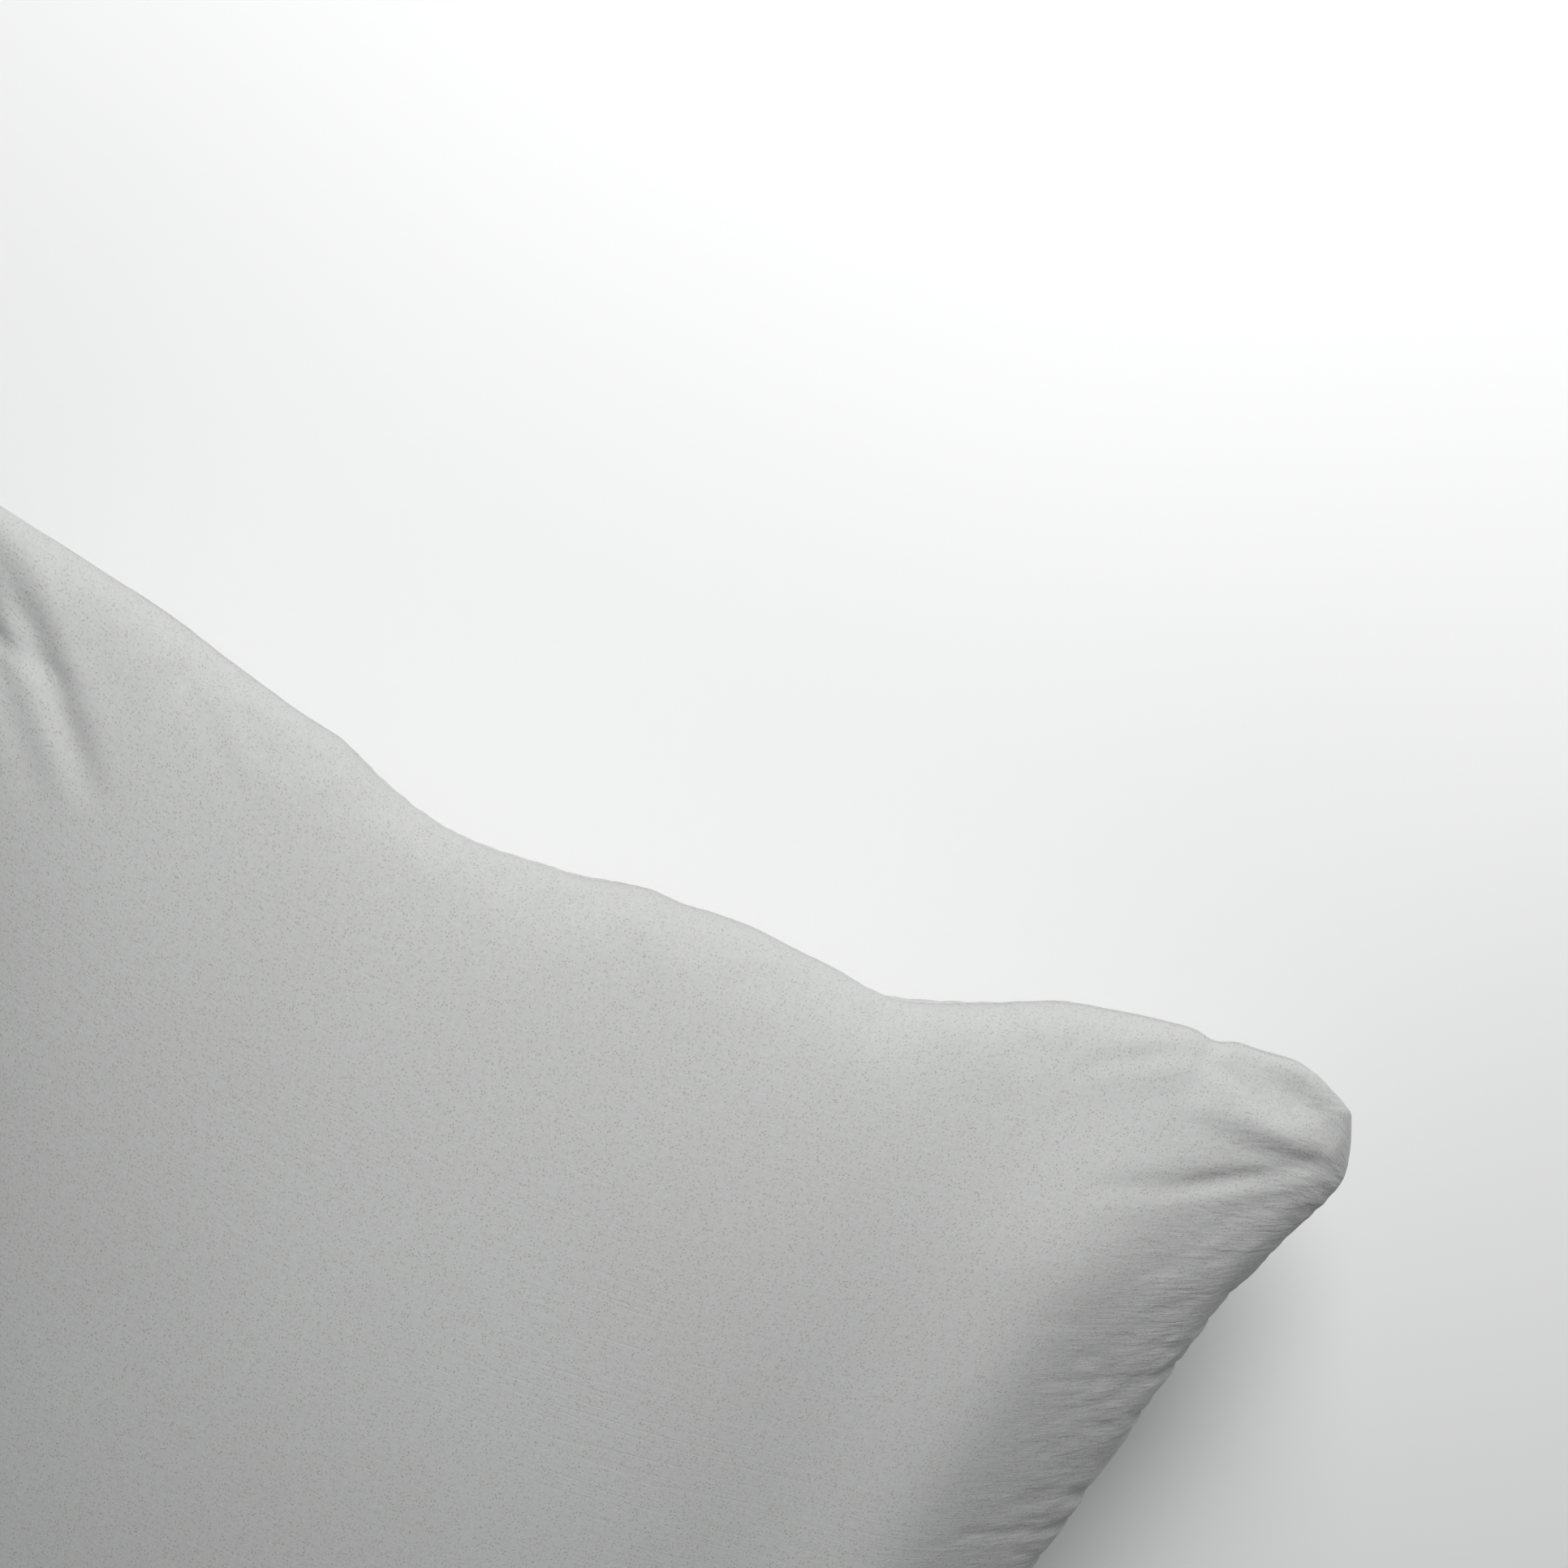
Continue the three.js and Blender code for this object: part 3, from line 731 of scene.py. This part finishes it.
# ---------------------------------------------------------------- inner pillow: ticking casing
# A plain bag of two sewn panels of close white ticking, a little smaller than the cover, that keeps the
# fibre in. The cover hides it.

CASING_INSET, CASING_DROP, CASING_THICKNESS = 0.0125, 0.0020, 0.0008
LOOSE = 0.0006  # how far it wanders from its smooth form
CASING_STEP = 3  # its mesh is this many times coarser than the cover's

ticking, shader, wire = finish_of("ticking", 0.85, Sheen_Weight=0.1, Specular_IOR_Level=0.3)
place = wire.node("ShaderNodeUVMap", {"uv_map": "cloth"})
twill = wire.node("ShaderNodeTexWave", {"bands_direction": "DIAGONAL"}, {"Vector": place, "Scale": 500.0})
down_proof = noise(wire, place, 900.0, 3.0)
feed(
    shader,
    wire,
    Base_Color=mixed(wire, twill * 0.5 + down_proof * 0.5, (0.78, 0.77, 0.73, 1), (0.86, 0.85, 0.82, 1)),
    Normal=bumped(wire, twill * 0.00004 + down_proof * 0.00003),
)
for name, side, node in (("casing_top", 1, "inner_casing_top"), ("casing_back", -1, "inner_casing_bottom")):
    random = np.random.default_rng(31 + side)
    shape = skin(side, CASING_INSET, CASING_DROP, False) + wandering
    soft = LOOSE * uneven(random, 0.04, 0.03) * smooth(0, 0.03, from_rim)
    shape = shape - normals_of(shape) * side * ((LOOSE + soft) * smooth(0, 0.03, from_rim))[..., None]
    piece = shell_mesh(name, shape[::CASING_STEP, ::CASING_STEP], side, CASING_THICKNESS, INNER_STEP)
    piece.data.materials.append(ticking)
    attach(piece, "pillow")
    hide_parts(node)


# ---------------------------------------------------------------- inner pillow: fibre filling
# Loose polyester fibre blown into the casing, clumped into soft lumps.

FILL_INSET, FILL_DROP, LUMP = 0.0150, 0.0042, 0.0016

fibre, shader, wire = finish_of("fibre", 1.0, Sheen_Weight=0.5, Specular_IOR_Level=0.1)
place = wire.node("ShaderNodeUVMap", {"uv_map": "cloth"})
strands = noise(wire, stretched(wire, place, 90, 420, 0.5), 1.0, 5.0)
clumps = noise(wire, place, 35.0, 4.0)
feed(
    shader,
    wire,
    Base_Color=mixed(wire, strands * 0.5 + clumps * 0.5, (0.80, 0.80, 0.79, 1), (0.93, 0.93, 0.92, 1)),
    Normal=bumped(wire, strands * 0.0006 + clumps * 0.001),
)
lumps = np.random.default_rng(41)
halves = []
for side in (1, -1):
    shape = skin(side, FILL_INSET, FILL_DROP, False) + wandering
    soft = LUMP * (1 + uneven(lumps, 0.035, 0.03)) * smooth(0, 0.03, from_rim)
    shape = shape - normals_of(shape) * side * soft[..., None]
    halves.append(shape[::CASING_STEP, ::CASING_STEP])
fill_top = np.arange(halves[0][..., 0].size).reshape(halves[0].shape[:2])
fill_free = np.zeros(fill_top.shape, bool)
fill_free[1:-1, 1:-1] = True
fill_back = fill_top.copy()
fill_back[fill_free] = fill_top.size + np.arange(fill_free.sum())
fill_mesh = bpy.data.meshes.new("fibre_filling")
fill_mesh.from_pydata(
    np.concatenate([halves[0].reshape(-1, 3), halves[1][fill_free]]).tolist(),
    [],
    np.concatenate([quads(fill_top), quads(fill_back)[:, ::-1]]).tolist(),
)
cloth = np.stack([cut_x, cut_y], -1)[::CASING_STEP, ::CASING_STEP]
lay_cloth(fill_mesh, np.concatenate([cloth.reshape(-1, 2), cloth[fill_free]]))
fill_mesh.materials.append(fibre)
fibre_filling = linked("fibre_filling", fill_mesh)
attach(fibre_filling, "pillow")
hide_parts("fibre_fill")


# ---------------------------------------------------------------- zip: tapes and guard flap
# Two strips of woven polyester tape, sewn behind the lips of the mouth, and a flap of cover cloth behind
# them that keeps the coil off the inner pillow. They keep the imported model's shape.

TAPE_LIGHT, TAPE_DARK = (0.42, 0.43, 0.425, 1), (0.30, 0.305, 0.30, 1)

tape_finish = cloth_by_place("zip_tape", TAPE_LIGHT, TAPE_DARK, 0.0006, (0, math.pi / 2, 0.785), 0.8)
flap_finish = cloth_by_place("flap_cloth", COVER_LIGHT, COVER_DARK, THREAD, (0, math.pi / 2, 0))


def dress(node, material):
    """Gives a carried-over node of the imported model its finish."""
    for slot in nodes[node].material_slots:
        slot.material = material


dress("zip_tape_upper", tape_finish)
dress("zip_tape_lower", tape_finish)
dress("zip_guard_flap", flap_finish)


# ---------------------------------------------------------------- zip: coil
# Two rows of nylon monofilament, each wound into a flattened spiral and sewn along its tape. The turns of
# one row lie between the turns of the other.

PITCH = 0.0015
FILAMENT = 0.00032  # radius
OVERLAP = 0.0014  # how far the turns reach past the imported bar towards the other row

nylon, shader, wire = finish_of("nylon_coil", 0.35, Specular_IOR_Level=0.5, Coat_Weight=0.15)
place = wire.node("ShaderNodeTexCoord", None, None, 3)
feed(
    shader,
    wire,
    Base_Color=mixed(wire, noise(wire, place, 800.0), (0.30, 0.305, 0.30, 1), (0.40, 0.405, 0.40, 1)),
    Roughness=noise(wire, place, 1200.0) * 0.2 + 0.28,
)


def new_tree(name, sizes):
    """An empty geometry tree with named inputs: a number each, and the piece's material."""
    tree = bpy.data.node_groups.new(name, "GeometryNodeTree")
    tree.interface.new_socket("Geometry", in_out="INPUT", socket_type="NodeSocketGeometry")
    for size in sizes:
        kind = "NodeSocketInt" if size == "Turns" else "NodeSocketFloat"
        tree.interface.new_socket(size, in_out="INPUT", socket_type=kind)
    tree.interface.new_socket("Material", in_out="INPUT", socket_type="NodeSocketMaterial")
    tree.interface.new_socket("Geometry", in_out="OUTPUT", socket_type="NodeSocketGeometry")
    entry = tree.nodes.new("NodeGroupInput")
    given = {socket.name: Wire(tree, socket) for socket in entry.outputs if socket.name}
    return tree, Wire(tree), given


def close_tree(wire, instances, material):
    """Ends a tree: smooth faces, real geometry, and its material."""
    real = wire.node("GeometryNodeRealizeInstances", None, {0: instances})
    finished = wire.node("GeometryNodeSetMaterial", None, {"Geometry": real, "Material": material})
    smoothed = wire.node("GeometryNodeSetShadeSmooth", None, {"Geometry": finished})
    wire.tree.links.new(smoothed.socket, wire.tree.nodes.new("NodeGroupOutput").inputs[0])


def grown(name, tree, points, values):
    """Runs a tree on a line of points and keeps what it makes as a plain mesh piece."""
    line = bpy.data.meshes.new(name + "_line")
    line.from_pydata([tuple(p) for p in points], [(k, k + 1) for k in range(len(points) - 1)], [])
    carrier = linked(name + "_line", line)
    modifier = carrier.modifiers.new("grow", "NODES")
    modifier.node_group = tree
    for item in tree.interface.items_tree:
        if item.in_out == "INPUT" and item.name in values:
            modifier[item.identifier] = values[item.name]
    bpy.context.view_layer.update()
    shown = carrier.evaluated_get(bpy.context.evaluated_depsgraph_get())
    mesh = bpy.data.meshes.new_from_object(shown)
    carrier.modifiers.remove(modifier)
    bpy.data.objects.remove(carrier)
    bpy.data.meshes.remove(line)
    mesh.name = name
    return linked(name, mesh)


coil_tree, wire, given = new_tree("coil_turns", ("Turns", "Pitch", "Reach", "Height", "Filament"))
step = wire.node("ShaderNodeCombineXYZ", None, {1: given["Pitch"]})
stations = wire.node("GeometryNodeMeshLine", {"mode": "OFFSET"}, {"Count": given["Turns"], "Offset": step})
round_turn = wire.node("GeometryNodeCurvePrimitiveCircle", None, {"Resolution": 12, "Radius": 0.5})
flattened = wire.node("ShaderNodeCombineXYZ", None, {0: given["Reach"], 1: given["Height"], 2: 1.0})
turn_curve = wire.node("GeometryNodeTransform", None, {"Geometry": round_turn, "Scale": flattened})
lean = (math.pi / 2, 0.0, 0.0)
turn_curve = wire.node("GeometryNodeTransform", None, {"Geometry": turn_curve, "Rotation": lean})
section = wire.node("GeometryNodeCurvePrimitiveCircle", None, {"Resolution": 5, "Radius": given["Filament"]})
turn_mesh = wire.node("GeometryNodeCurveToMesh", None, {0: turn_curve, 1: section})
turns = wire.node("GeometryNodeInstanceOnPoints", None, {"Points": stations, "Instance": turn_mesh})
moved = wire.node("GeometryNodeInputPosition")
settings = {"data_type": "FLOAT_VECTOR"}
start_point = wire.node("GeometryNodeSampleIndex", settings, {0: given["Geometry"], 1: moved})
placed = wire.node("GeometryNodeTransform", None, {"Geometry": turns, "Translation": start_point})
close_tree(wire, placed, given["Material"])

for name, node, way in (("coil_upper", "zip_coil_upper", 1), ("coil_lower", "zip_coil_lower", -1)):
    low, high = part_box(node)
    reach = high.x - low.x
    height = high.z - low.z + OVERLAP
    middle_z = (high.z + low.z) / 2 - way * OVERLAP / 2
    offset = PITCH / 2 if way > 0 else PITCH
    count = int((high.y - low.y) / PITCH) - 1
    start = ((low.x + high.x) / 2, low.y + offset, middle_z)
    sizes = {
        "Turns": count,
        "Pitch": PITCH,
        "Reach": reach - 2 * FILAMENT,
        "Height": height - 2 * FILAMENT,
        "Filament": FILAMENT,
        "Material": nylon,
    }
    piece = grown(name, coil_tree, [start, (start[0], start[1] + 0.01, start[2])], sizes)
    turned_out(piece.data)
    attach(piece, "pillow")
    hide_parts(node)


# ---------------------------------------------------------------- zip: stops, slider and pull tab
# Die-cast alloy with a satin plating. The stops are clenched on the tapes, the slider runs on the coil,
# and the tab swings on the slider's bridge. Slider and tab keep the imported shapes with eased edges.

EASED = 0.00022

alloy, shader, wire = finish_of("plated_alloy", 0.32, Metallic=1.0)
place = wire.node("ShaderNodeTexCoord", None, None, 3)
grain = noise(wire, place, 900.0, 3.0)
worn = noise(wire, place, 160.0, 3.0)
feed(
    shader,
    wire,
    Base_Color=mixed(wire, worn, (0.50, 0.51, 0.52, 1), (0.68, 0.69, 0.70, 1)),
    Roughness=between(wire, worn * 0.7 + grain * 0.3, 0.25, 0.75) * 0.2 + 0.24,
    Normal=bumped(wire, grain * 0.00001),
)
for node in ("zip_bottom_stop", "zip_top_stop_upper", "zip_top_stop_lower"):
    dress(node, alloy)

moving = (("slider_body", "zip_slider", "slider"), ("pull_tab_plate", "zip_pull_tab", "pull_tab"))
for name, node, body in moving:
    shape = bmesh.new()
    shape.from_mesh(nodes[node].data)
    bmesh.ops.remove_doubles(shape, verts=shape.verts, dist=1e-6)
    bmesh.ops.dissolve_limit(shape, angle_limit=0.03, verts=shape.verts, edges=shape.edges)
    mesh = bpy.data.meshes.new(name)
    shape.to_mesh(mesh)
    shape.free()
    rough = linked(name + "_rough", mesh)
    bevel = rough.modifiers.new("eased", "BEVEL")
    bevel.width = EASED
    bevel.segments = 2
    bevel.limit_method = "ANGLE"
    bevel.angle_limit = math.radians(35)
    bpy.context.view_layer.update()
    shown = rough.evaluated_get(bpy.context.evaluated_depsgraph_get())
    mesh = bpy.data.meshes.new_from_object(shown)
    bpy.data.objects.remove(rough)
    mesh.name = name
    mesh.materials.clear()
    mesh.materials.append(alloy)
    mesh.polygons.foreach_set("use_smooth", [False] * len(mesh.polygons))
    piece = linked(name, mesh)
    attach(piece, body)
    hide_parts(node)


# ---------------------------------------------------------------- zip: topstitching
# One row of lockstitch in matching thread along each lip of the mouth, through cover and tape.

STITCH_PITCH, STITCH_LENGTH, THREAD_RADIUS = 0.0032, 0.0027, 0.00024
STITCH_ROW = 2  # grid columns back from the lip

thread, shader, wire = finish_of("sewing_thread", 0.6, Specular_IOR_Level=0.4)
place = wire.node("ShaderNodeTexCoord", None, None, 3)
ply = wire.node("ShaderNodeTexWave", {"bands_direction": "DIAGONAL"}, {"Vector": place, "Scale": 900.0})
feed(
    shader,
    wire,
    Base_Color=mixed(wire, ply, (0.36, 0.365, 0.36, 1), (0.52, 0.525, 0.52, 1)),
    Normal=bumped(wire, ply * 0.00003),
)
stitch_tree, wire, given = new_tree("lockstitch", ("Pitch", "Length", "Thread"))
path = wire.node("GeometryNodeMeshToCurve", None, {0: given["Geometry"]})
settings = {"mode": "LENGTH"}
points = wire.node("GeometryNodeCurveToPoints", settings, {"Curve": path, "Length": given["Pitch"]})
tangent = Wire(stitch_tree, points.socket.node.outputs["Tangent"])
aim = wire.node("FunctionNodeAlignRotationToVector", {"axis": "X"}, {"Vector": tangent})
bead = wire.node("GeometryNodeMeshUVSphere", None, {"Segments": 8, "Rings": 5, "Radius": 1.0})
drawn = wire.node(
    "ShaderNodeCombineXYZ", None, {0: given["Length"] * 0.5, 1: given["Thread"], 2: given["Thread"]}
)
stitch = wire.node("GeometryNodeTransform", None, {"Geometry": bead, "Scale": drawn})
row = wire.node("GeometryNodeInstanceOnPoints", None, {"Points": points, "Instance": stitch, "Rotation": aim})
close_tree(wire, row, given["Material"])

for name, shape, side in (("topstitch_upper", top_shape, 1), ("topstitch_lower", back_shape, -1)):
    straight = abs(shape[STITCH_ROW, :, 1]) < MOUTH_HALF - 0.003
    line = (shape + normals_of(shape) * side * THREAD_RADIUS * 0.5)[STITCH_ROW][straight]
    sizes = {"Pitch": STITCH_PITCH, "Length": STITCH_LENGTH, "Thread": THREAD_RADIUS, "Material": thread}
    piece = grown(name, stitch_tree, line, sizes)
    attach(piece, "pillow")


# ---------------------------------------------------------------- care label
# A short length of white satin tape folded double, blank, its two ends caught in the seam.

LABEL_WIDTH, LABEL_IN, LABEL_OUT = 0.026, -0.009, 0.013
LABEL_THICKNESS, LABEL_GAP, LABEL_FOLDS = 0.00028, 0.00022, 8

label_low, label_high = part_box("care_label")
label_x = (label_low.x + label_high.x) / 2
nearest = int(np.argmin(abs(top_shape[:, -1, 0] - label_x)))
seam_point = (top_shape[nearest, -1] + back_shape[nearest, -1]) / 2
seam_way = top_shape[nearest + 8, -1] - top_shape[nearest - 8, -1]
seam_way = np.array((seam_way[0], seam_way[1], 0)) / np.hypot(seam_way[0], seam_way[1])
outward_way = np.array((-seam_way[1], seam_way[0], 0))

half_leg = (LABEL_THICKNESS + LABEL_GAP) / 2
bend = [
    (LABEL_OUT - half_leg + half_leg * math.cos(angle), half_leg * math.sin(angle))
    for angle in np.linspace(math.pi / 2, -math.pi / 2, LABEL_FOLDS)
]
legs = np.linspace(LABEL_IN, LABEL_OUT - half_leg, 12)[:-1]
centre_line = [(s, half_leg) for s in legs] + bend + [(s, -half_leg) for s in legs[::-1]]
centre_line = np.array(centre_line)
centre_line[:, 1] -= 0.0022 * np.clip(centre_line[:, 0] / LABEL_OUT, 0, 1) ** 2
tangents = np.gradient(centre_line, axis=0)
tangents /= np.linalg.norm(tangents, axis=1, keepdims=True)
sideways = np.stack([-tangents[:, 1], tangents[:, 0]], -1) * LABEL_THICKNESS / 2
label_points, label_faces = [], []
across = np.linspace(-LABEL_WIDTH / 2, LABEL_WIDTH / 2, 9)
for layer in (centre_line + sideways, centre_line - sideways):
    for s, z in layer:
        for w in across:
            curl = 0.0006 * math.cos(w * 160) * max(0.0, s / LABEL_OUT)
            point = seam_point + s * outward_way + w * seam_way + np.array((0, 0, z + curl))
            label_points.append(tuple(point))
grid = np.arange(len(label_points)).reshape(2, len(centre_line), len(across))
label_faces += quads(grid[0]).tolist() + quads(grid[1])[:, ::-1].tolist()
for first, second in ((grid[0, :, 0], grid[1, :, 0]), (grid[1, :, -1], grid[0, :, -1])):
    label_faces += np.stack([first[:-1], first[1:], second[1:], second[:-1]], -1)[:, ::-1].tolist()
for first, second in ((grid[1, 0], grid[0, 0]), (grid[0, -1], grid[1, -1])):
    label_faces += np.stack([first[:-1], first[1:], second[1:], second[:-1]], -1)[:, ::-1].tolist()
label_mesh = bpy.data.meshes.new("label_tape")
label_mesh.from_pydata(label_points, [], label_faces)
turned_out(label_mesh)
label_mesh.polygons.foreach_set("use_smooth", [True] * len(label_mesh.polygons))
label_mesh.materials.append(
    cloth_by_place("satin_label", (0.86, 0.86, 0.84, 1), (0.74, 0.74, 0.72, 1), 0.0003, (0, 0, 0.4), 0.5)
)
label_tape = linked("label_tape", label_mesh)
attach(label_tape, "pillow")
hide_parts("care_label")


# ---------------------------------------------------------------- floor, light and camera
# A white sweep under the pillow, one broad soft light beyond its far end, and a pale room round it.

PAPER = 6.0
floor_mesh = bpy.data.meshes.new("floor")
floor_mesh.from_pydata(
    [(x * PAPER / 2, y * PAPER / 2, 0) for x, y in ((-1, -1), (1, -1), (1, 1), (-1, 1))],
    [],
    [(0, 1, 2, 3)],
)
floor = linked("floor", floor_mesh)
paper, shader, wire = finish_of("paper", 0.9)
place = wire.node("ShaderNodeTexCoord", None, None, 3)
feed(
    shader,
    wire,
    Base_Color=mixed(wire, noise(wire, place, 3.0), (0.9, 0.9, 0.9, 1), (0.93, 0.93, 0.93, 1)),
)
floor_mesh.materials.append(paper)

room = bpy.data.worlds.new("room")
bpy.context.scene.world = room
room.use_nodes = True
wire = Wire(room.node_tree)
seen = wire.node("ShaderNodeLightPath")
glow = room.node_tree.nodes["Background"]
glow.inputs["Color"].default_value = (0.95, 0.97, 1.0, 1)
room.node_tree.links.new((seen * 0.73 + 0.10).socket, glow.inputs["Strength"])
bpy.context.scene.view_settings.view_transform = "Standard"


def softbox(name, target, azimuth, elevation, distance, size, power):
    lamp = bpy.data.lights.new(name, "AREA")
    lamp.size = size
    lamp.energy = power
    way = Vector(
        (
            math.cos(math.radians(elevation)) * math.cos(math.radians(azimuth)),
            math.cos(math.radians(elevation)) * math.sin(math.radians(azimuth)),
            math.sin(math.radians(elevation)),
        )
    )
    made = linked(name, lamp)
    made.location = Vector(target) + distance * way
    made.rotation_euler = (-way).to_track_quat("-Z", "Y").to_euler()


softbox("window", (0.15, 0, 0.1), azimuth=4, elevation=36, distance=1.35, size=0.8, power=19.4)
softbox("fill", (0, 0, 0.1), azimuth=190, elevation=22, distance=2.6, size=1.6, power=6)

AIM = Vector((0.371, -0.035, seam_z))
AZIMUTH, ELEVATION, ROLL = math.radians(58.1), math.radians(83.8), math.radians(24.3)
FIELD_OF_VIEW = math.radians(34.2)
DISTANCE = 0.762

camera_data = bpy.data.cameras.new("camera")
camera_data.sensor_fit = "HORIZONTAL"
camera_data.angle = FIELD_OF_VIEW
camera_data.clip_start = 0.02
camera = linked("camera", camera_data)
bpy.context.scene.camera = camera
away = Vector(
    (
        math.cos(ELEVATION) * math.cos(AZIMUTH),
        math.cos(ELEVATION) * math.sin(AZIMUTH),
        math.sin(ELEVATION),
    )
)
right = (-away).cross(Vector((1, 0, 0))).normalized()
up = right.cross(-away)
rolled_right = right * math.cos(ROLL) + up * math.sin(ROLL)
rolled_up = up * math.cos(ROLL) - right * math.sin(ROLL)
turn = Matrix((rolled_right, rolled_up, away)).transposed().to_4x4()
camera.matrix_world = Matrix.Translation(AIM + DISTANCE * away) @ turn
